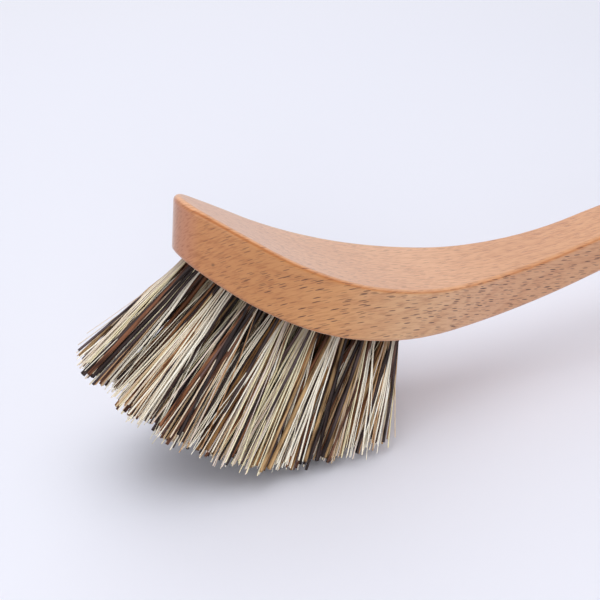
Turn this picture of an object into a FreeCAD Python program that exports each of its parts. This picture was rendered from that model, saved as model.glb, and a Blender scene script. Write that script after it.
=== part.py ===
"""Dish brush: a bowed beech handle with an upturned head, and stapled fibre tufts in drilled holes.

The brush stands as it is put down on a table: on the trimmed tips of its bristles and on the end of
its handle. X runs from the nose to the handle's end, Y across the brush, Z up, z = 0 is the table.
"""
import FreeCAD, Part
import Sketcher
import math
import os

Vector = FreeCAD.Vector
Rotation = FreeCAD.Rotation
Placement = FreeCAD.Placement

doc = FreeCAD.newDocument("dish_brush")

# Driving sizes, in millimetres and degrees
SIZES = {
    # side profile of the board, upper face, from its lowest point at the neck
    "neck_height": 36.2,
    "head_top_radius": 110.0,
    "head_top_angle": 34.4,
    "neck_top_radius": 150.0,
    "neck_rise_angle": 12.0,
    "crest_radius": 140.0,
    "tail_fall_angle": 22.0,
    # side profile of the board, underside
    "neck_thickness": 10.2,
    "neck_under_run": 5.9,
    "neck_under_radius": 150.0,
    "neck_under_angle": 20.4,
    "head_under_radius": 97.0,
    "head_under_angle": 42.0,
    # plan of the board, seen square to its length
    "board_pitch_angle": 5.0,
    "head_width": 30.4,
    "head_setback": 42.6,
    "head_side_radius": 70.0,
    "flank_angle": 25.4,
    "nose_radius": 6.5,
    "shoulder_radius": 140.0,
    "shoulder_angle": 11.6,
    "neck_side_radius": 260.0,
    "handle_flare_angle": 1.5,
    "handle_reach": 169.2,
    "edge_round": 1.1,
    # how far every cut passes beyond the board
    "overrun": 20.0,
    # hole to hang the brush by
    "hang_hole_diameter": 6.0,
    "hang_hole_inset": 12.0,
    "hang_hole_ease": 0.7,
    # tuft holes in the underside
    "hole_diameter": 5.0,
    "hole_depth": 7.5,
    "hole_edge_margin": 4.5,
    "field_back_angle": 12.4,
    "field_front_angle": 42.0,
    "fan_back_angle": 14.9,
    "fan_front_angle": 52.4,
    "splay_angle": 8.0,
    # tufts of bristle
    "tuft_clearance": 0.05,
    "tuft_tip_diameter": 8.6,
    "tuft_blank_length": 48.0,
    "trim_radius": 55.2,
    "trim_setback": 52.3,
    # wire staples
    "wire_diameter": 0.7,
    "staple_bend_radius": 1.2,
    "staple_lift": 0.8,
    "staple_bite": 2.2,
}
# Tufts side by side in each cross row, from the nose back
TUFTS_IN_ROW = (1, 2, 3, 3, 4, 4, 4, 4)

sheet = doc.addObject("Spreadsheet::Sheet", "Sizes")
for line, (alias, value) in enumerate(SIZES.items(), start=1):
    sheet.set(f"A{line}", alias)
    sheet.set(f"B{line}", str(value))
    sheet.setAlias(f"B{line}", alias)
doc.recompute()


def size(alias):
    return float(sheet.get(alias))


def angle(alias):
    return math.radians(size(alias))


# Sketch helpers: chains of lines and arcs that run on from each other
def bind(sketch, constraint, alias, rest=""):
    """Adds a constraint whose value follows a size, with the rest of its expression."""
    index = sketch.addConstraint(constraint)
    name = f"{alias}_{index}"
    sketch.renameConstraint(index, name)
    sketch.setExpression(f"Constraints.{name}", f"Sizes.{alias}{rest}")


def add_line(sketch, start, heading, length):
    end = start + Vector(math.cos(heading), math.sin(heading)) * length
    return {"geo": sketch.addGeometry(Part.LineSegment(start, end)),
            "first": 1, "last": 2, "end": end, "heading": heading}


def add_arc(sketch, start, heading, radius, turn):
    side = math.copysign(1, turn)
    centre = start + Vector(-math.sin(heading), math.cos(heading)) * (side * radius)
    first = heading - side * math.pi / 2
    span = sorted((first, first + turn))
    arc = Part.ArcOfCircle(Part.Circle(centre, Vector(0, 0, 1), radius), *span)
    low, high = (1, 2) if turn > 0 else (2, 1)
    end_angle = first + turn
    end = centre + Vector(math.cos(end_angle), math.sin(end_angle)) * radius
    return {"geo": sketch.addGeometry(arc), "first": low, "last": high, "middle": 3,
            "end": end, "heading": heading + turn, "centre": centre}


def spot(edge, point):
    """A point of an edge as constraints name it: first, last, or the middle of an arc's circle."""
    return edge["geo"], edge[point]


def sketch_origin():
    return -1, 1


def join(sketch, kind, before, after):
    sketch.addConstraint(Sketcher.Constraint(kind, *spot(before, "last"), *spot(after, "first")))


def on_axis(sketch, axis, edge, point):
    number = {"horizontal": -1, "vertical": -2}[axis]
    sketch.addConstraint(Sketcher.Constraint("PointOnObject", *spot(edge, point), number))


# Side profile: the S-shaped upper face, and an underside that thickens towards the head.
# Its two ends run on past the board, as far as the plan reaches, because the plan cuts them off.
profile = doc.addObject("Sketcher::SketchObject", "side_profile")
profile.Placement = Placement(Vector(), Rotation(Vector(1, 0, 0), 90))

neck_low = Vector(0, size("neck_height"))
head_start = neck_low + Vector(
    -size("head_top_radius") * math.sin(angle("head_top_angle")),
    size("head_top_radius") * (1 - math.cos(angle("head_top_angle"))))
nose_heading = -angle("head_top_angle")
nose_start = head_start - Vector(math.cos(nose_heading), math.sin(nose_heading)) * size("head_setback")
tail_turn = angle("neck_rise_angle") + angle("tail_fall_angle")

nose_top = add_line(profile, nose_start, nose_heading, size("head_setback"))
head_top = add_arc(profile, nose_top["end"], nose_heading,
                   size("head_top_radius"), angle("head_top_angle"))
neck_top = add_arc(profile, neck_low, 0, size("neck_top_radius"), angle("neck_rise_angle"))
crest_top = add_arc(profile, neck_top["end"], neck_top["heading"], size("crest_radius"), -tail_turn)
tail_top = add_line(profile, crest_top["end"], crest_top["heading"], size("handle_reach"))
tail_end = add_line(profile, tail_top["end"], tail_top["heading"] - math.pi / 2, size("neck_thickness"))
tail_under = add_line(profile, tail_end["end"], tail_top["heading"] + math.pi, size("handle_reach"))
crest_under = add_arc(profile, tail_under["end"], tail_under["heading"],
                      size("crest_radius") - size("neck_thickness"), tail_turn)
neck_flat = add_line(profile, crest_under["end"], crest_under["heading"], size("neck_under_run"))
neck_under = add_arc(profile, neck_flat["end"], neck_flat["heading"],
                     size("neck_under_radius"), -angle("neck_under_angle"))
head_under = add_arc(profile, neck_under["end"], neck_under["heading"],
                     size("head_under_radius"), -angle("head_under_angle"))
nose_rise = nose_start - head_under["end"]
nose_end = add_line(profile, head_under["end"], math.atan2(nose_rise.y, nose_rise.x), nose_rise.Length)

for before, after in ((nose_top, head_top), (head_top, neck_top), (neck_top, crest_top),
                      (crest_top, tail_top), (crest_under, neck_flat), (neck_flat, neck_under),
                      (neck_under, head_under)):
    join(profile, "Tangent", before, after)
for before, after in ((tail_top, tail_end), (tail_end, tail_under), (tail_under, crest_under),
                      (head_under, nose_end), (nose_end, nose_top)):
    join(profile, "Coincident", before, after)
on_axis(profile, "vertical", neck_top, "first")
on_axis(profile, "vertical", neck_top, "middle")
profile.addConstraint(Sketcher.Constraint("Perpendicular", tail_top["geo"], tail_end["geo"]))
profile.addConstraint(Sketcher.Constraint("Parallel", tail_top["geo"], tail_under["geo"]))
profile.addConstraint(Sketcher.Constraint("Equal", tail_top["geo"], tail_under["geo"]))
profile.addConstraint(
    Sketcher.Constraint("Coincident", *spot(crest_top, "middle"), *spot(crest_under, "middle")))
bind(profile, Sketcher.Constraint("DistanceY", *spot(neck_top, "first"), neck_low.y), "neck_height")
for edge, alias in ((nose_top, "head_setback"), (tail_top, "handle_reach"),
                    (tail_end, "neck_thickness"), (neck_flat, "neck_under_run")):
    bind(profile, Sketcher.Constraint("Distance", edge["geo"], size(alias)), alias)
for edge, alias in ((head_top, "head_top_radius"), (neck_top, "neck_top_radius"),
                    (crest_top, "crest_radius"), (neck_under, "neck_under_radius"),
                    (head_under, "head_under_radius")):
    bind(profile, Sketcher.Constraint("Radius", edge["geo"], size(alias)), alias)
for edge, alias in ((head_top, "head_top_angle"), (neck_top, "neck_rise_angle"),
                    (neck_under, "neck_under_angle"), (head_under, "head_under_angle")):
    bind(profile, Sketcher.Constraint("Angle", edge["geo"], angle(alias)), alias)
for edge in (crest_top, crest_under):
    whole_turn = Sketcher.Constraint("Angle", edge["geo"], tail_turn)
    bind(profile, whole_turn, "neck_rise_angle", " + Sizes.tail_fall_angle")

# Plan: a rounded nose, flanks that swell to the head's full width, a waist, and a round handle end
plan = doc.addObject("Sketcher::SketchObject", "plan_outline")
board = Placement(Vector(0, 0, size("neck_height")), Rotation(Vector(0, 1, 0), size("board_pitch_angle")))
plan.Placement = board

half_head = size("head_width") / 2
flank = angle("flank_angle")
flare = angle("handle_flare_angle")
flank_end = Vector(-size("head_setback") - size("head_side_radius") * math.sin(flank),
                   half_head - size("head_side_radius") * (1 - math.cos(flank)))
nose_centre = Vector(flank_end.x - (flank_end.y - size("nose_radius") / math.cos(flank)) / math.tan(flank), 0)
nose_tip = nose_centre - Vector(size("nose_radius"), 0)
handle_tip = Vector(size("handle_reach"), 0)
for hand in (1, -1):
    tip_arc = add_arc(plan, nose_tip, hand * math.pi / 2, size("nose_radius"), -hand * (math.pi / 2 - flank))
    flank_run = math.hypot(flank_end.x - tip_arc["end"].x, flank_end.y - hand * tip_arc["end"].y)
    flank_line = add_line(plan, tip_arc["end"], hand * flank, flank_run)
    head_arc = add_arc(plan, flank_line["end"], hand * flank, size("head_side_radius"), -hand * flank)
    shoulder = add_arc(plan, head_arc["end"], 0, size("shoulder_radius"), -hand * angle("shoulder_angle"))
    waist = add_arc(plan, shoulder["end"], shoulder["heading"], size("neck_side_radius"),
                    hand * (angle("shoulder_angle") + flare))
    # the round end touches both sides and the handle's reach
    waist_half = hand * waist["end"].y
    end_radius = ((waist_half + (handle_tip.x - waist["end"].x) * math.tan(flare))
                  * math.cos(flare) / (1 + math.sin(flare)))
    end_start = Vector(handle_tip.x - end_radius - end_radius * math.sin(flare), end_radius * math.cos(flare))
    side_line = add_line(plan, waist["end"], hand * flare, (end_start.x - waist["end"].x) / math.cos(flare))
    end_arc = add_arc(plan, side_line["end"], hand * flare, end_radius, -hand * (math.pi / 2 + flare))
    side = (tip_arc, flank_line, head_arc, shoulder, waist, side_line, end_arc)
    for before, after in zip(side, side[1:]):
        join(plan, "Tangent", before, after)
    for arc, point in ((tip_arc, "middle"), (tip_arc, "first"), (end_arc, "middle"), (end_arc, "last")):
        on_axis(plan, "horizontal", arc, point)
    widest = spot(head_arc, "last")
    plan.addConstraint(Sketcher.Constraint("Vertical", *spot(head_arc, "middle"), *widest))
    for arc, alias in ((tip_arc, "nose_radius"), (head_arc, "head_side_radius"),
                       (shoulder, "shoulder_radius"), (waist, "neck_side_radius")):
        bind(plan, Sketcher.Constraint("Radius", arc["geo"], size(alias)), alias)
    for arc, alias in ((head_arc, "flank_angle"), (shoulder, "shoulder_angle")):
        bind(plan, Sketcher.Constraint("Angle", arc["geo"], angle(alias)), alias)
    waist_turn = Sketcher.Constraint("Angle", waist["geo"], angle("shoulder_angle") + flare)
    bind(plan, waist_turn, "shoulder_angle", " + Sizes.handle_flare_angle")
    reach = Sketcher.Constraint("DistanceX", *sketch_origin(), *spot(end_arc, "last"), handle_tip.x)
    bind(plan, reach, "handle_reach")
    setback = Sketcher.Constraint("DistanceX", *widest, *sketch_origin(), size("head_setback"))
    bind(plan, setback, "head_setback")
    lower, upper = (sketch_origin(), widest) if hand > 0 else (widest, sketch_origin())
    bind(plan, Sketcher.Constraint("DistanceY", *lower, *upper, half_head), "head_width", " / 2")
doc.recompute()

# The board: both outlines sawn through each other, then rounded all along its edges
side_cut = doc.addObject("Part::Extrusion", "side_cut")
side_cut.Base = profile
side_cut.DirMode = "Normal"
side_cut.Solid = True
side_cut.Symmetric = True
side_cut.setExpression("LengthFwd", "Sizes.head_width + Sizes.overrun")

plan_cut = doc.addObject("Part::Extrusion", "plan_cut")
plan_cut.Base = plan
plan_cut.DirMode = "Normal"
plan_cut.Solid = True
plan_cut.setExpression("LengthFwd", "Sizes.neck_height + Sizes.overrun")
plan_cut.setExpression("LengthRev", "Sizes.neck_height + Sizes.overrun")

blank = doc.addObject("Part::Common", "board_blank")
blank.Base = side_cut
blank.Tool = plan_cut
doc.recompute()


def sharp_edges(shape, least_turn):
    """Numbers of the edges where two faces meet at more than least_turn."""
    found = []
    for number, edge in enumerate(shape.Edges, start=1):
        faces = shape.ancestorsOfType(edge, Part.Face)
        if len(faces) != 2:
            continue
        middle = edge.valueAt((edge.FirstParameter + edge.LastParameter) / 2)
        normals = [face.normalAt(*face.Surface.parameter(middle)) for face in faces]
        if normals[0].getAngle(normals[1]) > least_turn:
            found.append(number)
    return found


rounded = doc.addObject("Part::Fillet", "board_rounded")
rounded.Base = blank
least_turn = math.radians(30)
rounded.Edges = [(number, size("edge_round"), size("edge_round"))
                 for number in sharp_edges(blank.Shape, least_turn)]
doc.recompute()


# Drills, wires and other round bodies, with their sizes bound to the sheet
def primitive(kind, name, expressions, placement):
    item = doc.addObject(kind, name)
    for prop, expression in expressions.items():
        item.setExpression(prop, expression)
    item.Placement = placement
    return item


# Hanging hole, square to the flat end of the handle, with both mouths eased
tail_heading = tail_top["heading"]
tail_along = Vector(math.cos(tail_heading), 0, math.sin(tail_heading))
tail_up = Vector(-math.sin(tail_heading), 0, math.cos(tail_heading))
tail_root = Vector(crest_top["end"].x, 0, crest_top["end"].y) - tail_up * (size("neck_thickness") / 2)
board_along = board.Rotation.multVec(Vector(1, 0, 0))
hole_run = size("handle_reach") - size("hang_hole_inset") - (tail_root - board.Base).dot(board_along)
hang_centre = tail_root + tail_along * (hole_run / tail_along.dot(board_along))

hang_drill = primitive("Part::Cylinder", "hang_drill",
                       {"Radius": "Sizes.hang_hole_diameter / 2",
                        "Height": "Sizes.neck_thickness + 2 * Sizes.overrun"},
                       Placement(hang_centre - tail_up * (size("neck_thickness") / 2 + size("overrun")),
                                 Rotation(Vector(0, 0, 1), tail_up)))
hang_mouths = []
for name, outward in (("upper", tail_up), ("lower", -tail_up)):
    start = hang_centre + outward * (size("neck_thickness") / 2 - size("hang_hole_ease"))
    hang_mouths.append(primitive("Part::Cone", f"hang_mouth_{name}",
                                 {"Radius1": "Sizes.hang_hole_diameter / 2",
                                  "Radius2": "Sizes.hang_hole_diameter / 2 + 2 * Sizes.hang_hole_ease",
                                  "Height": "2 * Sizes.hang_hole_ease"},
                                 Placement(start, Rotation(Vector(0, 0, 1), outward))))

# Tuft places: cross rows along the round underside of the head, fanned out and splayed
under_centre = Vector(head_under["centre"].x, 0, head_under["centre"].y)


def half_width(point):
    """Half the board's width where point lies along its length, on the head's swell or flank."""
    along = (point - board.Base).dot(board_along)
    if along < flank_end.x:
        return flank_end.y + (along - flank_end.x) * math.tan(flank)
    offset = along + size("head_setback")
    curve = size("head_side_radius") if offset < 0 else size("shoulder_radius")
    return half_head - curve + math.sqrt(curve ** 2 - offset ** 2)


def between(front, back, share):
    return angle(front) + (angle(back) - angle(front)) * share


def tuft_places():
    """Row and place numbers, the mouth of each hole and the way its tuft points."""
    last_row = len(TUFTS_IN_ROW) - 1
    outermost = half_head - size("hole_edge_margin")
    for row, count in enumerate(TUFTS_IN_ROW):
        share = row / last_row
        lean = between("field_front_angle", "field_back_angle", share)
        fan = between("fan_front_angle", "fan_back_angle", share)
        mouth = under_centre + Vector(-math.sin(lean), 0, -math.cos(lean)) * size("head_under_radius")
        outer = max(half_width(mouth) - size("hole_edge_margin"), 0)
        for place in range(count):
            side_share = 2 * place / (count - 1) - 1 if count > 1 else 0
            splay = angle("splay_angle") * side_share * outer / outermost
            way = Vector(-math.sin(fan) * math.cos(splay), math.sin(splay), -math.cos(fan) * math.cos(splay))
            yield row + 1, place + 1, mouth + Vector(0, side_share * outer, 0), way


# Trimming ball: every tuft ends on one round surface, which touches the table
trim_centre = Vector(-size("trim_setback"), 0, size("trim_radius"))
trim_ball = primitive("Part::Sphere", "trim_ball", {"Radius": "Sizes.trim_radius"},
                      Placement(trim_centre, Rotation()))

# Each tuft: its hole, its wire staple and its bundle of bristle, all on one slanted axis
holes = []
staples = []
tufts = []
plug_radius = "Sizes.hole_diameter / 2 - Sizes.tuft_clearance"
for row, place, mouth, way in tuft_places():
    tag = f"{row}_{place}"
    turn = Rotation(Vector(1, 0, 0), Vector(0, 1, 0), way, "ZXY")
    bottom = mouth - way * size("hole_depth")
    seat = Placement(bottom, turn)
    holes.append(primitive("Part::Cylinder", f"hole_{tag}",
                           {"Radius": "Sizes.hole_diameter / 2",
                            "Height": "Sizes.hole_depth + Sizes.hole_diameter"}, seat))

    bend = primitive("Part::Torus", f"staple_bend_{tag}",
                     {"Radius1": "Sizes.staple_bend_radius", "Radius2": "Sizes.wire_diameter / 2"},
                     seat * Placement(Vector(0, 0, size("staple_lift")), Rotation(Vector(1, 0, 0), 90)))
    bend.Angle3 = 180
    legs = []
    leg_base = -size("staple_bite")
    for hand in (-1, 1):
        foot = Placement(Vector(hand * size("staple_bend_radius"), 0, leg_base), Rotation())
        legs.append(primitive("Part::Cylinder", f"staple_leg_{tag}_{hand + 2}",
                              {"Radius": "Sizes.wire_diameter / 2",
                               "Height": "Sizes.staple_bite + Sizes.staple_lift"}, seat * foot))
    staple = doc.addObject("Part::MultiFuse", f"staple_{tag}")
    staple.Shapes = [bend] + legs
    staples.append(staple)

    plug = primitive("Part::Cylinder", f"plug_{tag}",
                     {"Radius": plug_radius, "Height": "Sizes.hole_depth"}, seat)
    fan_out = primitive("Part::Cone", f"bristle_{tag}",
                        {"Radius1": plug_radius, "Radius2": "Sizes.tuft_tip_diameter / 2",
                         "Height": "Sizes.tuft_blank_length"}, Placement(mouth, turn))
    bundle = doc.addObject("Part::Fuse", f"bundle_{tag}")
    bundle.Base = plug
    bundle.Tool = fan_out
    trimmed = doc.addObject("Part::Common", f"trimmed_{tag}")
    trimmed.Base = bundle
    trimmed.Tool = trim_ball
    tuft = doc.addObject("Part::Cut", f"tuft_{tag}")
    tuft.Base = trimmed
    tuft.Tool = staple
    tuft.Label = f"tuft_{tag}"
    tufts.append(tuft)

staple_set = doc.addObject("Part::Compound", "tuft_staples")
staple_set.Links = staples
staple_set.Label = "tuft_staples"

# The handle: the rounded board, drilled for the tufts and bitten into by the staples' legs
drill_set = doc.addObject("Part::Compound", "drill_set")
drill_set.Links = holes + hang_mouths + [hang_drill]
drilled = doc.addObject("Part::Cut", "board_drilled")
drilled.Base = rounded
drilled.Tool = drill_set
bite_set = doc.addObject("Part::Compound", "bite_set")
bite_set.Links = staples
handle = doc.addObject("Part::Cut", "handle")
handle.Base = drilled
handle.Tool = bite_set
handle.Label = "handle"
doc.recompute()

# The origin moves to the table under the middle of the whole brush
nodes = [handle, staple_set] + tufts
whole = FreeCAD.BoundBox()
for node in nodes:
    whole.add(node.Shape.optimalBoundingBox())
shift = Placement(Vector(-(whole.XMin + whole.XMax) / 2, 0, -whole.ZMin), Rotation())
for node in nodes:
    node.Placement = shift.multiply(node.Placement)
doc.recompute()

for item in doc.Objects:
    if "Invalid" in item.State or "Error" in item.State:
        raise RuntimeError(f"{item.Label} failed: {item.State}")
for node in nodes:
    if node.Shape.isNull() or not node.Shape.isValid():
        raise RuntimeError(f"{node.Label} has no valid shape")

os.makedirs("parts", exist_ok=True)
for node in nodes:
    node.Shape.exportStep(os.path.join("parts", f"{node.Label}.step"))
print(len(nodes), "nodes,", len(tufts), "tufts")
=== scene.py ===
"""Dish brush: a bowed beech handle with an upturned head, and tufts of mixed plant fibre stapled into it."""
import math

import bpy
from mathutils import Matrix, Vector


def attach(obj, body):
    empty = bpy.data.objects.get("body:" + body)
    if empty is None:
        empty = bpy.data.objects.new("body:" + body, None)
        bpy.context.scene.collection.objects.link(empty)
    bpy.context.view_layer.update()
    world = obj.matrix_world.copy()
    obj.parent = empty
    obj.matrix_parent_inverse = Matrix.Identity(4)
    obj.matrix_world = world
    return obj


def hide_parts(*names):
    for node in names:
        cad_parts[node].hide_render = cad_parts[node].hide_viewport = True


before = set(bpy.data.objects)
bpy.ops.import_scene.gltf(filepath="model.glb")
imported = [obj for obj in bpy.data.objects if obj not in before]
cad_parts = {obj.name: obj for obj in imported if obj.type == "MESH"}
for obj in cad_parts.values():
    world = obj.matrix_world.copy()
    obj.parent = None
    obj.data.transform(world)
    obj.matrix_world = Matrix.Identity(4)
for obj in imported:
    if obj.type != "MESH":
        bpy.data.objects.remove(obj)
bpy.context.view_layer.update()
mm = 0.001


# Handle
# One piece of steamed beech, sawn to an S from the side and to a spoon from above, with its edges
# rounded and its faces sanded smooth. A thin coat of oil darkens the ray flecks, and the rounded edges are a
# deeper orange.
def linear(code):
    """An sRGB hex colour as a linear colour with full alpha."""
    parts = [int(code[start:start + 2], 16) / 255 for start in (1, 3, 5)]
    return [part / 12.92 if part <= 0.04045 else ((part + 0.055) / 1.055) ** 2.4 for part in parts] + [1.0]


def add(tree, kind, inputs=None, output=0, stops=(), **settings):
    """Adds a node and gives one of its outputs.

    An input is a value, or the output that it is linked to. Inputs go by name or, where a node has a name
    twice, by number: a colour mix has its share at 0 and its colours at 6 and 7, and a map range has its
    value at 0, the range that it comes from at 1 and 2, and the range that it goes to at 3 and 4.
    The stops of a colour ramp are places with hex colours.
    """
    node = tree.nodes.new(kind)
    for name, value in settings.items():
        setattr(node, name, value)
    for socket, value in (inputs or {}).items():
        if isinstance(value, bpy.types.NodeSocket):
            tree.links.new(value, node.inputs[socket])
        else:
            node.inputs[socket].default_value = value
    elements = node.color_ramp.elements if stops else ()
    while len(elements) < len(stops):
        elements.new(1.0)
    for element, (position, code) in zip(elements, stops):
        element.position = position
        element.color = linear(code)
    return node.outputs[output] if node.outputs else None


# settings that several nodes share: two colours blended, one colour multiplied over another (for stains and
# tints, and for painted shade), and an eased step
blend = {"output": 2, "data_type": "RGBA"}
multiply_mix = {**blend, "blend_type": "MULTIPLY"}
eased = {"interpolation_type": "SMOOTHSTEP"}


def oiled_beech():
    """Pale brown wood with thin dark ray flecks, faint rings and fine pores, satin from its oil, and paler
    flat faces that are a painted sheen.
    """
    material = bpy.data.materials.new("oiled_beech")
    material.use_nodes = True
    tree = material.node_tree
    place = add(tree, "ShaderNodeTexCoord", output="Object")
    normal = place.node.outputs["Normal"]

    # the log's own directions: along the grain, out along its rays, and round its rings
    grain_dip = math.radians(5)
    ray_tilt = math.radians(48)
    grain = Vector((math.cos(grain_dip), 0, -math.sin(grain_dip)))
    ray = Vector((0, math.cos(ray_tilt), -math.sin(ray_tilt)))
    round_rings = grain.cross(ray)
    parts = [add(tree, "ShaderNodeVectorMath", {0: place, 1: way}, "Value", operation="DOT_PRODUCT")
             for way in (grain, ray, round_rings)]
    log = add(tree, "ShaderNodeCombineXYZ", dict(enumerate(parts)))

    # how far a face looks up or down, looks along the grain, and shows the rays from their flat side
    up = Vector((0, 0, 1))
    facings = [add(tree, "ShaderNodeVectorMath", {0: normal, 1: way}, "Value", operation="DOT_PRODUCT")
               for way in (up, grain, round_rings)]
    level, endwise, raywise = [add(tree, "ShaderNodeMath", {0: facing}, operation="ABSOLUTE")
                               for facing in facings]

    # broad tones: ochre at the head, pinker toward the neck, paler on the flat faces (painted sheen),
    # drifting a little
    head_end = -112 * mm
    neck_start = -30 * mm
    flat_from = 0.5
    flat_full = 0.85
    drift_size = (45 * mm, 12 * mm, 12 * mm)
    drift_share = 0.45
    lengthwise = add(tree, "ShaderNodeMapRange", {0: parts[0], 1: head_end, 2: neck_start})
    side_tone = add(tree, "ShaderNodeValToRGB", {"Fac": lengthwise}, stops=(
        (0.0, "#C0834D"), (0.12, "#C28750"), (0.34, "#D19963"),
        (0.57, "#DBAF84"), (0.89, "#D7A680"), (1.0, "#D3A078")))
    # painted sheen: faces that look up take this paler tone, in place of the pale reflection they show at a
    # slant
    top_sheen_tone = add(tree, "ShaderNodeValToRGB", {"Fac": lengthwise}, stops=(
        (0.75, "#E7AF81"), (1.0, "#DAA070")))
    flat = add(tree, "ShaderNodeMapRange", {0: level, 1: flat_from, 2: flat_full}, **eased)
    wood = add(tree, "ShaderNodeMix", {0: flat, 6: side_tone, 7: top_sheen_tone}, **blend)
    drift_place = add(tree, "ShaderNodeVectorMath", {0: log, 1: drift_size}, operation="DIVIDE")
    drift = add(tree, "ShaderNodeTexNoise", {"Vector": drift_place, "Scale": 1.0, "Detail": 2.0}, "Fac")
    drift_tint = add(tree, "ShaderNodeValToRGB", {"Fac": drift}, stops=(
        (0.3, "#E6DBD0"), (0.6, "#F4F4F4")))
    wood = add(tree, "ShaderNodeMix", {0: drift_share, 6: wood, 7: drift_tint}, **multiply_mix)

    # growth rings round a pith some way off: the waves of a wave texture are 2 pi / 20 apart at scale 1
    pith = (0, -42 * mm, -46 * mm)
    ring_spacing = 2.8 * mm
    wave_spacing = 2 * math.pi / 20
    ring_share = 0.25
    ring_place = add(tree, "ShaderNodeVectorMath", {0: log, 1: pith}, operation="ADD")
    rings = add(tree, "ShaderNodeTexWave",
                {"Vector": ring_place, "Scale": wave_spacing / ring_spacing, "Distortion": 1.2,
                 "Detail": 2.0, "Detail Scale": 0.35},
                "Fac", wave_type="RINGS", rings_direction="X", wave_profile="SAW")
    ring_tint = add(tree, "ShaderNodeValToRGB", {"Fac": rings}, stops=(
        (0.0, "#FFFFFF"), (0.6, "#FBF5EE"), (0.9, "#DFC0A2"), (1.0, "#FFFFFF")))
    wood = add(tree, "ShaderNodeMix", {0: ring_share, 6: wood, 7: ring_tint}, **multiply_mix)

    # the nose and the tail show end grain, pinker than the sides
    end_from = 0.35
    end_full = 0.9
    end_grain = add(tree, "ShaderNodeMapRange", {0: endwise, 1: end_from, 2: end_full}, **eased)
    wood = add(tree, "ShaderNodeMix", {0: end_grain, 6: wood, 7: linear("#BA8060")}, **blend)

    # fine pores: hair-thin streaks a few millimetres long, cut across on the end grain
    pore_size = (3.5 * mm, 1.2 * mm, 0.3 * mm)
    pore_share = 0.5
    pore_place = add(tree, "ShaderNodeVectorMath", {0: log, 1: pore_size}, operation="DIVIDE")
    pores = add(tree, "ShaderNodeTexNoise", {"Vector": pore_place, "Scale": 1.0, "Detail": 2.0}, "Fac")
    pore_tint = add(tree, "ShaderNodeValToRGB", {"Fac": pores}, stops=(
        (0.3, "#BE9678"), (0.5, "#F6EEE8"), (0.7, "#FFFFFF")))
    wood = add(tree, "ShaderNodeMix", {0: pore_share, 6: wood, 7: pore_tint}, **multiply_mix)

    # ray flecks: thin spindles about 2 mm long, each as dark as chance has it, paler and redder on the flat
    # faces as a painted sheen, paler toward the nose and where the rays lie flat, and gone on the end grain
    fleck_pitch = (3.8 * mm, 1.7 * mm, 0.3 * mm)
    fleck_reach = 0.33
    fleck_core = 0.7 * fleck_reach
    fleck_place = add(tree, "ShaderNodeVectorMath", {0: log, 1: fleck_pitch}, operation="DIVIDE")
    cell = add(tree, "ShaderNodeTexVoronoi", {"Vector": fleck_place, "Scale": 1.0, "Randomness": 0.85},
               "Distance")
    chance = add(tree, "ShaderNodeSeparateColor", {0: cell.node.outputs["Color"]})
    fleck = add(tree, "ShaderNodeMapRange", {0: cell, 1: fleck_reach, 2: fleck_core}, **eased)
    for sign, low, high, at_low, at_high in (
            (chance, 0.0, 1.0, 0.25, 1.1), (level, 0.6, 0.95, 1.0, 0.8), (endwise, 0.43, 0.8, 1.0, 0.0),
            (raywise, 0.8, 0.97, 1.0, 0.3), (lengthwise, 0.0, 0.25, 0.5, 1.0)):
        strength = add(tree, "ShaderNodeMapRange", {0: sign, 1: low, 2: high, 3: at_low, 4: at_high})
        fleck = add(tree, "ShaderNodeMath", {0: fleck, 1: strength}, operation="MULTIPLY")
    # painted sheen: on faces that look up the flecks take a paler, redder colour, as if washed by a slanting
    # reflection
    fleck_tone_and_sheen = add(tree, "ShaderNodeMix", {0: flat, 6: linear("#4A220C"), 7: linear("#9A5C36")}, **blend)
    wood = add(tree, "ShaderNodeMix", {0: fleck, 6: wood, 7: fleck_tone_and_sheen}, **blend)

    # one pin knot on the near side of the nose
    knot_place = Vector((-106.3, -7.1, 52.9)) * mm
    knot_radius = 0.5 * mm
    knot_gap = add(tree, "ShaderNodeVectorMath", {0: place, 1: knot_place}, "Value", operation="DISTANCE")
    knot = add(tree, "ShaderNodeMapRange", {0: knot_gap, 1: knot_radius, 2: 0.0})
    wood = add(tree, "ShaderNodeMix", {0: knot, 6: wood, 7: linear("#6B452A")}, **blend)

    # rounded edges, which look partly up and partly aside, are tinted a deeper orange
    edge = add(tree, "ShaderNodeMath", {0: 1.0, 1: end_grain}, operation="SUBTRACT")
    for outside, inside in ((0.3, 0.5), (0.8, 0.65)):
        band = add(tree, "ShaderNodeMapRange", {0: level, 1: outside, 2: inside}, **eased)
        edge = add(tree, "ShaderNodeMath", {0: edge, 1: band}, operation="MULTIPLY")
    wood = add(tree, "ShaderNodeMix", {0: edge, 6: wood, 7: linear("#F6DFC2")}, **multiply_mix)

    # satin oil, rougher in the pores, with a soft sheen at a slant and flecks a hair below the face
    roughest = 0.5
    smoothest = 0.36
    fleck_depth = 0.05 * mm
    satin = add(tree, "ShaderNodeMapRange", {0: pores, 3: roughest, 4: smoothest})
    dents = add(tree, "ShaderNodeBump", {"Strength": 0.3, "Distance": fleck_depth, "Height": fleck},
                invert=True)
    shader = tree.nodes["Principled BSDF"]
    shader.inputs["Sheen Weight"].default_value = 0.5
    shader.inputs["Sheen Roughness"].default_value = 0.45
    tree.links.new(wood, shader.inputs["Base Color"])
    tree.links.new(satin, shader.inputs["Roughness"])
    tree.links.new(dents, shader.inputs["Normal"])
    return material


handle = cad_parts["handle"]
handle.data.materials.clear()
handle.data.materials.append(oiled_beech())


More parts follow.
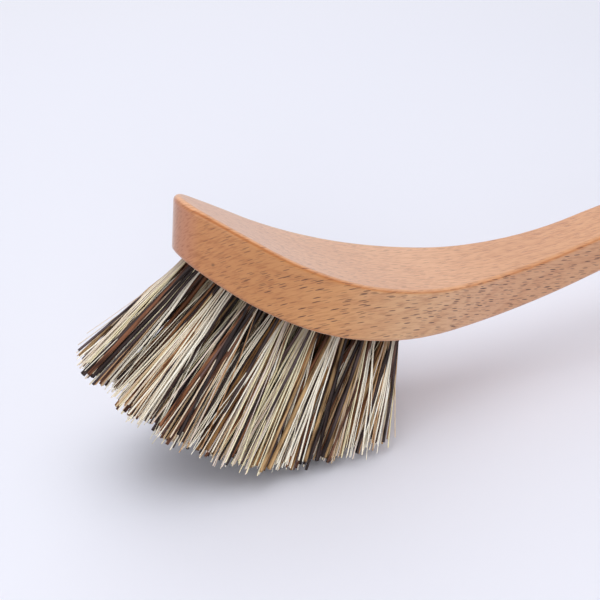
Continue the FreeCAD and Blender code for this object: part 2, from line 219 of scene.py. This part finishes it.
# Staples
# U-shaped bits of drawn steel wire, one driven over the fold of each tuft so that its legs bite into
# the wood at the bottom of the hole. They stay out of sight among the fibres.
def drawn_wire():
    """Bright steel wire, finely marked all over by the drawing die."""
    material = bpy.data.materials.new("drawn_steel_wire")
    material.use_nodes = True
    tree = material.node_tree
    die_mark = 0.05 * mm
    smoothest = 0.25
    roughest = 0.4
    place = add(tree, "ShaderNodeTexCoord", output="Object")
    marks = add(tree, "ShaderNodeTexNoise", {"Vector": place, "Scale": 1 / die_mark, "Detail": 1.0}, "Fac")
    tint = add(tree, "ShaderNodeValToRGB", {"Fac": marks}, stops=((0.3, "#A9A8A6"), (0.7, "#C9C8C5")))
    gloss = add(tree, "ShaderNodeMapRange", {0: marks, 3: smoothest, 4: roughest})
    shader = tree.nodes["Principled BSDF"]
    shader.inputs["Metallic"].default_value = 1.0
    tree.links.new(tint, shader.inputs["Base Color"])
    tree.links.new(gloss, shader.inputs["Roughness"])
    return material


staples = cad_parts["tuft_staples"]
staples.data.materials.clear()
staples.data.materials.append(drawn_wire())


# Tufts
# Bundles of mixed plant fibre, folded in half and stapled into slanted holes: many fine ivory leaf
# fibres among thicker brown palm stems. They fan out and are trimmed together to one round surface.
tufts_in_row = (1, 2, 3, 3, 4, 4, 4, 4)

# the round underside that holds the rows, and how the rows lean on it, from the nose back
under_centre = Vector((-43.5, 0, 122.6)) * mm
under_radius = 97 * mm
field_angles = (math.radians(42), math.radians(12.4))
fan_angles = (math.radians(49.5), math.radians(20.5))
splay_angle = math.radians(9.5)

# the board's plan, which the ends of the rows follow
neck_low = Vector((-32.1, 0, 36.2)) * mm
board_pitch = math.radians(5)
head_half_width = 15.2 * mm
head_setback = 42.6 * mm
head_side_radius = 70 * mm
shoulder_radius = 140 * mm
flank_angle = math.radians(25.4)
edge_margin = 4.5 * mm

# the ball that the tips are trimmed to, which touches the table
trim_radius = 60 * mm
trim_centre = Vector((-81.5 * mm, 0, trim_radius))


def half_width(point):
    """Half the board's width where a point lies along its length."""
    board_along = Vector((math.cos(board_pitch), 0, -math.sin(board_pitch)))
    offset = (point - neck_low).dot(board_along) + head_setback
    flank_start = -head_side_radius * math.sin(flank_angle)
    if offset < flank_start:
        swell = head_half_width - head_side_radius * (1 - math.cos(flank_angle))
        return swell + (offset - flank_start) * math.tan(flank_angle)
    curve = head_side_radius if offset < 0 else shoulder_radius
    return head_half_width - curve + math.sqrt(curve ** 2 - offset ** 2)


def tuft_places():
    """Row and place numbers, the mouth of each hole and the way its tuft points."""
    last_row = len(tufts_in_row) - 1
    for row, count in enumerate(tufts_in_row):
        share = row / last_row
        lean = field_angles[0] + (field_angles[1] - field_angles[0]) * share
        fan = fan_angles[0] + (fan_angles[1] - fan_angles[0]) * share
        mouth = under_centre + Vector((-math.sin(lean), 0, -math.cos(lean))) * under_radius
        outer = max(half_width(mouth) - edge_margin, 0)
        for place in range(count):
            side = 2 * place / (count - 1) - 1 if count > 1 else 0
            splay = splay_angle * side * outer / (head_half_width - edge_margin)
            way = Vector((-math.sin(fan) * math.cos(splay), math.sin(splay),
                          -math.cos(fan) * math.cos(splay)))
            yield row + 1, place + 1, mouth + Vector((0, side * outer, 0)), way


def fibre_layer():
    """A node tree that lays one kind of fibre in a tuft, from its hole out to the trimmed surface."""
    tree = bpy.data.node_groups.new("fibre_layer", "GeometryNodeTree")
    sockets = (("Geometry", "Geometry"), ("Fibres", "Int"), ("Lock", "Int"), ("Mouth", "Vector"),
               ("Axis", "Vector"), ("Bunch Radius", "Float"), ("Rooted", "Float"), ("Loose", "Float"),
               ("Flare", "Float"), ("Spread", "Float"), ("Lean", "Float"), ("Stray", "Float"),
               ("Bow", "Float"), ("Trim Centre", "Vector"), ("Trim Radius", "Float"),
               ("Short", "Float"), ("Long", "Float"), ("Thin", "Float"), ("Thick", "Float"),
               ("Flatness", "Float"), ("Sides", "Int"), ("Steps", "Int"), ("Seed", "Int"),
               ("Material", "Material"))
    for name, kind in sockets:
        tree.interface.new_socket(name, in_out="INPUT", socket_type=f"NodeSocket{kind}")
    tree.interface.new_socket("Geometry", in_out="OUTPUT", socket_type="NodeSocketGeometry")
    given = add(tree, "NodeGroupInput").node.outputs

    # which fibre and lock each point belongs to, how far along the fibre it lies, and their chances
    index = add(tree, "GeometryNodeInputIndex")
    steps = given["Steps"]
    fibre = add(tree, "FunctionNodeIntegerMath", {0: index, 1: steps}, operation="DIVIDE_FLOOR")
    lock = add(tree, "FunctionNodeIntegerMath", {0: fibre, 1: given["Lock"]}, operation="DIVIDE_FLOOR")
    step = add(tree, "FunctionNodeIntegerMath", {0: index, 1: steps}, operation="MODULO")
    last = add(tree, "FunctionNodeIntegerMath", {0: steps, 1: 1}, operation="SUBTRACT")
    along = add(tree, "ShaderNodeMath", {0: step, 1: last}, operation="DIVIDE")
    chances = []
    for draw, owner in enumerate((fibre, fibre, fibre, fibre, fibre, lock, lock)):
        seed = add(tree, "FunctionNodeIntegerMath", {0: given["Seed"], 1: draw}, operation="ADD")
        chances.append(add(tree, "FunctionNodeRandomValue", {"ID": owner, "Seed": seed},
                           data_type="FLOAT_VECTOR"))
    spot, sway, bend, cut, finish, lock_spot, lock_sway = chances
    spot_x, spot_y, spot_z = add(tree, "ShaderNodeSeparateXYZ", {0: spot}).node.outputs
    cut_x, cut_y, cut_z = add(tree, "ShaderNodeSeparateXYZ", {0: cut}).node.outputs
    finish_x, finish_y, finish_z = add(tree, "ShaderNodeSeparateXYZ", {0: finish}).node.outputs
    lock_x, lock_y, lock_z = add(tree, "ShaderNodeSeparateXYZ", {0: lock_spot}).node.outputs

    # its lock's place in the round hole, and its own place beside that
    across = add(tree, "ShaderNodeVectorMath", {0: given["Axis"], 1: (0, 1, 0)}, operation="CROSS_PRODUCT")
    across = add(tree, "ShaderNodeVectorMath", {0: across}, operation="NORMALIZE")
    aside = add(tree, "ShaderNodeVectorMath", {0: given["Axis"], 1: across}, operation="CROSS_PRODUCT")
    turn = add(tree, "ShaderNodeMath", {0: lock_x, 1: 2 * math.pi}, operation="MULTIPLY")
    reach = add(tree, "ShaderNodeMath", {0: lock_y}, operation="SQRT")
    disc = None
    for way, wave, own in ((across, "COSINE", spot_x), (aside, "SINE", spot_y)):
        beside = add(tree, "ShaderNodeMath", {0: own, 1: 0.5}, operation="SUBTRACT")
        beside = add(tree, "ShaderNodeMath", {0: beside, 1: given["Loose"]}, operation="MULTIPLY")
        part = add(tree, "ShaderNodeMath", {0: turn}, operation=wave)
        part = add(tree, "ShaderNodeMath", {0: part, 1: reach, 2: beside}, operation="MULTIPLY_ADD")
        part = add(tree, "ShaderNodeVectorMath", {0: way, "Scale": part}, operation="SCALE")
        disc = part if disc is None else add(tree, "ShaderNodeVectorMath", {0: disc, 1: part})
    offset = add(tree, "ShaderNodeVectorMath", {0: disc, "Scale": given["Bunch Radius"]}, operation="SCALE")
    start = add(tree, "ShaderNodeVectorMath", {0: given["Mouth"], 1: offset})

    # the way it points: fanned out, with its lock's lean, mostly along the board, and a few strays
    half = (0.5, 0.5, 0.5)
    board_share = (1.0, 0.6, 1.0)
    stray_power = 4.0
    stray_least = 0.25
    fanned = add(tree, "ShaderNodeVectorMath", {0: disc, "Scale": given["Spread"]}, operation="SCALE")
    leaning = add(tree, "ShaderNodeVectorMath", {0: lock_sway, 1: half}, operation="SUBTRACT")
    leaning = add(tree, "ShaderNodeVectorMath", {0: leaning, 1: board_share}, operation="MULTIPLY")
    leaning = add(tree, "ShaderNodeVectorMath", {0: leaning, "Scale": given["Lean"]}, operation="SCALE")
    seldom = add(tree, "ShaderNodeMath", {0: finish_x, 1: stray_power}, operation="POWER")
    seldom = add(tree, "ShaderNodeMath", {0: seldom, 1: stray_least}, operation="ADD")
    seldom = add(tree, "ShaderNodeMath", {0: seldom, 1: given["Stray"]}, operation="MULTIPLY")
    strayed = add(tree, "ShaderNodeVectorMath", {0: sway, 1: half}, operation="SUBTRACT")
    strayed = add(tree, "ShaderNodeVectorMath", {0: strayed, "Scale": seldom}, operation="SCALE")
    way = given["Axis"]
    for part in (fanned, leaning, strayed):
        way = add(tree, "ShaderNodeVectorMath", {0: way, 1: part})
    way = add(tree, "ShaderNodeVectorMath", {0: way}, operation="NORMALIZE")

    # its length out to the trimming ball, a little shorter or longer by chance, and never through the table
    table_gap = 0.4 * mm
    away = add(tree, "ShaderNodeVectorMath", {0: start, 1: given["Trim Centre"]}, operation="SUBTRACT")
    middle = add(tree, "ShaderNodeVectorMath", {0: away, 1: way}, "Value", operation="DOT_PRODUCT")
    outside = add(tree, "ShaderNodeVectorMath", {0: away, 1: away}, "Value", operation="DOT_PRODUCT")
    limit = add(tree, "ShaderNodeMath", {0: given["Trim Radius"], 1: 2.0}, operation="POWER")
    room = add(tree, "ShaderNodeMath", {0: limit, 1: outside}, operation="SUBTRACT")
    root = add(tree, "ShaderNodeMath", {0: middle, 1: middle, 2: room}, operation="MULTIPLY_ADD")
    root = add(tree, "ShaderNodeMath", {0: root}, operation="SQRT")
    length = add(tree, "ShaderNodeMath", {0: root, 1: middle}, operation="SUBTRACT")
    for chance, amount, power, change in ((cut_x, "Short", 3.0, "SUBTRACT"), (cut_y, "Long", 6.0, "ADD")):
        trimmed = add(tree, "ShaderNodeMath", {0: chance, 1: power}, operation="POWER")
        trimmed = add(tree, "ShaderNodeMath", {0: trimmed, 1: given[amount]}, operation="MULTIPLY")
        length = add(tree, "ShaderNodeMath", {0: length, 1: trimmed}, operation=change)
    height = add(tree, "ShaderNodeSeparateXYZ", {0: start}, "Z")
    fall = add(tree, "ShaderNodeSeparateXYZ", {0: way}, "Z")
    height = add(tree, "ShaderNodeMath", {0: table_gap, 1: height}, operation="SUBTRACT")
    drop = add(tree, "ShaderNodeMath", {0: height, 1: fall}, operation="DIVIDE")
    length = add(tree, "ShaderNodeMath", {0: length, 1: drop}, operation="MINIMUM")

    # its points, from inside the hole to its tip: the bunch opens at the mouth, bows a little and clears the
    # table, where only the height of the lowest point counts
    opening_run = 12 * mm
    lowest = (-1.0, -1.0, 0.7 * mm)
    whole = add(tree, "ShaderNodeMath", {0: length, 1: given["Rooted"]}, operation="ADD")
    run = add(tree, "ShaderNodeMath", {0: along, 1: whole}, operation="MULTIPLY")
    run = add(tree, "ShaderNodeMath", {0: run, 1: given["Rooted"]}, operation="SUBTRACT")
    point = add(tree, "ShaderNodeVectorMath", {0: way, "Scale": run}, operation="SCALE")
    point = add(tree, "ShaderNodeVectorMath", {0: point, 1: start})
    opened = add(tree, "ShaderNodeMapRange", {0: run, 1: 0.0, 2: opening_run, 3: 0.0, 4: given["Flare"]})
    opened = add(tree, "ShaderNodeVectorMath", {0: disc, "Scale": opened}, operation="SCALE")
    point = add(tree, "ShaderNodeVectorMath", {0: point, 1: opened})
    bowed = add(tree, "ShaderNodeMath", {0: along, 1: 2.0}, operation="POWER")
    bowed = add(tree, "ShaderNodeMath", {0: bowed, 1: given["Bow"]}, operation="MULTIPLY")
    bend = add(tree, "ShaderNodeVectorMath", {0: bend, 1: half}, operation="SUBTRACT")
    bend = add(tree, "ShaderNodeVectorMath", {0: bend, "Scale": bowed}, operation="SCALE")
    point = add(tree, "ShaderNodeVectorMath", {0: point, 1: bend})
    point = add(tree, "ShaderNodeVectorMath", {0: point, 1: lowest}, operation="MAXIMUM")

    # a flattened stalk round each line of points, with a colour near its lock's
    own_share = 0.35
    shade = add(tree, "ShaderNodeMath", {0: cut_z, 1: 0.5}, operation="SUBTRACT")
    shade = add(tree, "ShaderNodeMath", {0: shade, 1: own_share, 2: lock_z},
                operation="MULTIPLY_ADD", use_clamp=True)
    count = add(tree, "FunctionNodeIntegerMath", {0: given["Fibres"], 1: steps}, operation="MULTIPLY")
    made = add(tree, "GeometryNodePoints", {"Count": count, "Position": point})
    for name, value in (("shade", shade), ("along", along), ("fleck", finish_y)):
        made = add(tree, "GeometryNodeStoreNamedAttribute", {"Geometry": made, "Name": name, "Value": value},
                   data_type="FLOAT", domain="POINT")
    made = add(tree, "GeometryNodePointsToCurves", {0: made, 1: fibre})
    twist = add(tree, "ShaderNodeMath", {0: finish_z, 1: math.pi}, operation="MULTIPLY")
    made = add(tree, "GeometryNodeSetCurveTilt", {"Curve": made, "Tilt": twist})
    width = add(tree, "ShaderNodeMapRange", {0: spot_z, 3: given["Thin"], 4: given["Thick"]})
    ring = add(tree, "GeometryNodeCurvePrimitiveCircle", {"Resolution": given["Sides"], "Radius": 0.5})
    flat = add(tree, "ShaderNodeCombineXYZ", {0: 1.0, 1: given["Flatness"], 2: 1.0})
    ring = add(tree, "GeometryNodeTransform", {"Geometry": ring, "Scale": flat})
    ring = add(tree, "GeometryNodeStoreNamedAttribute", {"Geometry": ring, "Name": "round", "Value": index},
               data_type="FLOAT", domain="POINT")
    made = add(tree, "GeometryNodeCurveToMesh",
               {"Curve": made, "Profile Curve": ring, "Scale": width, "Fill Caps": True})
    made = add(tree, "GeometryNodeRealizeInstances", {"Geometry": made})
    made = add(tree, "GeometryNodeSetMaterial", {"Geometry": made, "Material": given["Material"]})
    joined = add(tree, "GeometryNodeJoinGeometry", {0: given["Geometry"]})
    tree.links.new(made, joined.node.inputs[0])
    add(tree, "NodeGroupOutput", {0: joined})
    return tree


def plant_fibre(name, stops, streak, cut_share, smoothest, roughest, shine):
    """Dry plant fibre: each stalk has its own colour, streaked along its length, with painted shade toward
    the root and a darker cut end.
    """
    material = bpy.data.materials.new(name)
    material.use_nodes = True
    tree = material.node_tree
    shade, along, fleck, around = [
        add(tree, "ShaderNodeAttribute", output="Fac", attribute_name=attribute)
        for attribute in ("shade", "along", "fleck", "round")]
    own = add(tree, "ShaderNodeValToRGB", {"Fac": shade}, stops=stops)

    # streaks about 8 mm long, which change from side to side of a stalk and start anew on the next stalk
    stalk_length = 40 * mm
    streak_length = 8 * mm
    stalk_step = 400.0
    side_step = 0.7
    streak_scale = (stalk_length / streak_length, stalk_step, side_step)
    streak_place = add(tree, "ShaderNodeCombineXYZ", {0: along, 1: fleck, 2: around})
    streak_place = add(tree, "ShaderNodeVectorMath", {0: streak_place, 1: streak_scale}, operation="MULTIPLY")
    mottle = add(tree, "ShaderNodeTexNoise", {"Vector": streak_place, "Scale": 1.0, "Detail": 2.0}, "Fac")
    tint = add(tree, "ShaderNodeValToRGB", {"Fac": mottle}, stops=((0.35, streak), (0.6, "#FFFFFF")))
    colour = add(tree, "ShaderNodeMix", {0: 1.0, 6: own, 7: tint}, **multiply_mix)

    # darker at the root, a painted shade where the bunch is packed tight and little light gets in, and darker
    # at the cut end
    packed_until = 0.1
    open_from = 0.5
    painted_root_shade = 0.6
    cut_from = 0.985
    root = add(tree, "ShaderNodeMapRange", {0: along, 1: packed_until, 2: open_from, 3: painted_root_shade, 4: 0.0},
               **eased)
    colour = add(tree, "ShaderNodeMix", {0: root, 6: colour, 7: linear("#6A5648")}, **multiply_mix)
    cut_end = add(tree, "ShaderNodeMapRange", {0: along, 1: cut_from, 2: 1.0, 4: cut_share})
    colour = add(tree, "ShaderNodeMix", {0: cut_end, 6: colour, 7: linear("#5A4638")}, **multiply_mix)

    gloss = add(tree, "ShaderNodeMapRange", {0: mottle, 1: 0.3, 2: 0.7, 3: roughest, 4: smoothest})
    shader = tree.nodes["Principled BSDF"]
    shader.inputs["Specular IOR Level"].default_value = shine
    tree.links.new(colour, shader.inputs["Base Color"])
    tree.links.new(gloss, shader.inputs["Roughness"])
    return material


# waxy leaf fibre, pale with a soft gloss, and dull woody stem, from near black to straw
ivory_fibre = plant_fibre(
    "ivory_leaf_fibre",
    ((0.0, "#FFFCEE"), (0.4, "#FDF5E0"), (0.58, "#F5ECC2"), (0.72, "#E2D5CB"), (0.87, "#E6CCA4"),
     (1.0, "#B58C62")),
    streak="#F0E7DD", cut_share=0.1, smoothest=0.32, roughest=0.48, shine=0.5)
brown_stem = plant_fibre(
    "brown_palm_stem",
    ((0.0, "#352826"), (0.18, "#463735"), (0.34, "#625355"), (0.46, "#714C39"), (0.62, "#8F5939"),
     (0.78, "#A06B47"), (0.9, "#B0844F"), (1.0, "#C6A273")),
    streak="#6E5F57", cut_share=0.5, smoothest=0.55, roughest=0.7, shine=0.25)

# the kinds of fibre in every tuft, each with its widths and habits
kinds = {
    "fine": {"Lock": 6, "Thin": 0.20 * mm, "Thick": 0.46 * mm, "Flatness": 0.8, "Sides": 5, "Loose": 0.5,
             "Lean": 0.17, "Stray": 0.26, "Bow": 3.0 * mm, "Short": 2.0 * mm, "Long": 0.8 * mm,
             "Material": ivory_fibre},
    "stem": {"Lock": 1, "Thin": 0.5 * mm, "Thick": 1.25 * mm, "Flatness": 0.7, "Sides": 6, "Loose": 0.0,
             "Lean": 0.14, "Stray": 0.12, "Bow": 2.0 * mm, "Short": 2.4 * mm, "Long": 0.4 * mm,
             "Material": brown_stem},
    "wisp": {"Lock": 1, "Thin": 0.09 * mm, "Thick": 0.14 * mm, "Flatness": 1.0, "Sides": 3, "Loose": 0.0,
             "Lean": 0.3, "Stray": 0.4, "Bow": 8.0 * mm, "Short": 8.0 * mm, "Long": 4.0 * mm,
             "Material": ivory_fibre},
}

# how many of each kind a tuft holds: the mix differs from row to row, as the fibre came to hand, and the
# tufts inside the field hold more dark stems, which stand in for the deep shade seen between the outer tufts
row_mix = ((70, 20, 3), (66, 28, 1), (66, 26, 1), (90, 16, 1),
           (74, 22, 1), (60, 28, 1), (66, 24, 1), (72, 20, 1))
inner_dark_mix = (0.9, 2.2, 1)
tuft_seeds = 1000
kind_seeds = 100
bunch = {"Bunch Radius": 2.1 * mm, "Rooted": 4 * mm, "Flare": 1.1 * mm, "Spread": 0.03,
         "Trim Centre": trim_centre, "Trim Radius": trim_radius, "Steps": 6}
layer = fibre_layer()
keys = {item.name: item.identifier for item in layer.interface.items_tree if item.in_out == "INPUT"}
for number, (row, place, mouth, way) in enumerate(tuft_places()):
    blank = bpy.data.objects.new("tuft_blank", bpy.data.meshes.new("tuft_blank"))
    bpy.context.scene.collection.objects.link(blank)
    is_inner = 1 < place < tufts_in_row[row - 1]
    for order, (kind, habits) in enumerate(kinds.items()):
        modifier = blank.modifiers.new(kind, "NODES")
        modifier.node_group = layer
        count = round(row_mix[row - 1][order] * (inner_dark_mix[order] if is_inner else 1))
        seed = tuft_seeds * number + kind_seeds * order
        own = {"Mouth": mouth, "Axis": way, "Fibres": count, "Seed": seed}
        for name, value in {**bunch, **habits, **own}.items():
            modifier[keys[name]] = value
    evaluated = blank.evaluated_get(bpy.context.evaluated_depsgraph_get())
    bundle = bpy.data.objects.new(f"fibres_{row}_{place}", bpy.data.meshes.new_from_object(evaluated))
    bpy.context.scene.collection.objects.link(bundle)
    bpy.data.objects.remove(blank)
    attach(bundle, "root")
    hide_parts(f"tuft_{row}_{place}")


# Table, light and camera
# A plain pale table top under a softbox, with weaker ones in front, behind and to the left, seen from
# the nose's side as in the photograph. Far from the brush the table fades into the backdrop.
backdrop = "#ECEDF6"


def pale_table():
    """Matt pale board near the brush, which the camera sees turn into the plain backdrop further off."""
    material = bpy.data.materials.new("pale_table")
    material.use_nodes = True
    tree = material.node_tree
    shader = tree.nodes["Principled BSDF"]
    shader.inputs["Base Color"].default_value = linear(backdrop)
    shader.inputs["Roughness"].default_value = 0.9
    shader.inputs["Specular IOR Level"].default_value = 0.2
    fade_start = 0.3
    fade_end = 0.65
    place = add(tree, "ShaderNodeTexCoord", output="Object")
    away = add(tree, "ShaderNodeVectorMath", {0: place}, "Value", operation="LENGTH")
    fade = add(tree, "ShaderNodeMapRange", {0: away, 1: fade_start, 2: fade_end}, **eased)
    seen = add(tree, "ShaderNodeLightPath", output="Is Camera Ray")
    fade = add(tree, "ShaderNodeMath", {0: fade, 1: seen}, operation="MULTIPLY")
    plain = add(tree, "ShaderNodeEmission", {"Color": linear(backdrop), "Strength": 1.0})
    both = add(tree, "ShaderNodeMixShader", {0: fade, 1: shader.outputs[0], 2: plain})
    tree.links.new(both, tree.nodes["Material Output"].inputs["Surface"])
    return material


table_half = 4.0
table_mesh = bpy.data.meshes.new("table")
table_mesh.from_pydata([(-table_half, -table_half, 0), (table_half, -table_half, 0),
                        (table_half, table_half, 0), (-table_half, table_half, 0)], [], [(0, 1, 2, 3)])
table = bpy.data.objects.new("table", table_mesh)
bpy.context.scene.collection.objects.link(table)
table.data.materials.append(pale_table())

world = bpy.data.worlds.new("studio")
bpy.context.scene.world = world
world.use_nodes = True
sky = world.node_tree
ambient = sky.nodes["Background"]
ambient.inputs["Color"].default_value = linear("#F4F5FF")
ambient.inputs["Strength"].default_value = 0.33
shown = add(sky, "ShaderNodeBackground", {"Color": linear(backdrop), "Strength": 1.0})
light_path = add(sky, "ShaderNodeLightPath").node.outputs
seen = light_path["Is Camera Ray"]
for ray_kind in ("Is Glossy Ray", "Is Transmission Ray"):
    seen = add(sky, "ShaderNodeMath", {0: seen, 1: light_path[ray_kind]}, operation="ADD", use_clamp=True)
either = add(sky, "ShaderNodeMixShader", {0: seen, 1: ambient.outputs[0], 2: shown})
sky.links.new(either, sky.nodes["World Output"].inputs["Surface"])

# each softbox's place and width in metres and its power in watts, all turned to where the camera looks
aim = Vector((-77.5, 11.3, 29.2)) * mm
softboxes = (("overhead", (-0.10, -0.10, 1.20), 1.15, 8.0), ("front", (-0.50, -0.85, 0.26), 0.45, 3.25),
             ("behind", (0.05, 0.75, 0.75), 0.9, 3.2), ("left", (-0.50, -0.30, 0.65), 0.5, 0.7))
for name, spot, width, power in softboxes:
    lamp = bpy.data.lights.new(name, "AREA")
    lamp.shape = "SQUARE"
    lamp.size = width
    lamp.energy = power
    softbox = bpy.data.objects.new(name, lamp)
    softbox.location = spot
    softbox.rotation_euler = (Vector(spot) - aim).to_track_quat("Z", "Y").to_euler()
    bpy.context.scene.collection.objects.link(softbox)

azimuth = math.radians(-25)
elevation = math.radians(28)
distance = 268.3 * mm
back = Vector((math.sin(azimuth) * math.cos(elevation), -math.cos(azimuth) * math.cos(elevation),
               math.sin(elevation)))
lens = bpy.data.cameras.new("photo_view")
lens.sensor_width = 36.0
lens.lens = 66.0
lens.clip_start = 0.01
camera = bpy.data.objects.new("photo_view", lens)
camera.location = aim + back * distance
camera.rotation_euler = back.to_track_quat("Z", "Y").to_euler()
bpy.context.scene.collection.objects.link(camera)
bpy.context.scene.camera = camera
bpy.context.scene.view_settings.view_transform = "Standard"
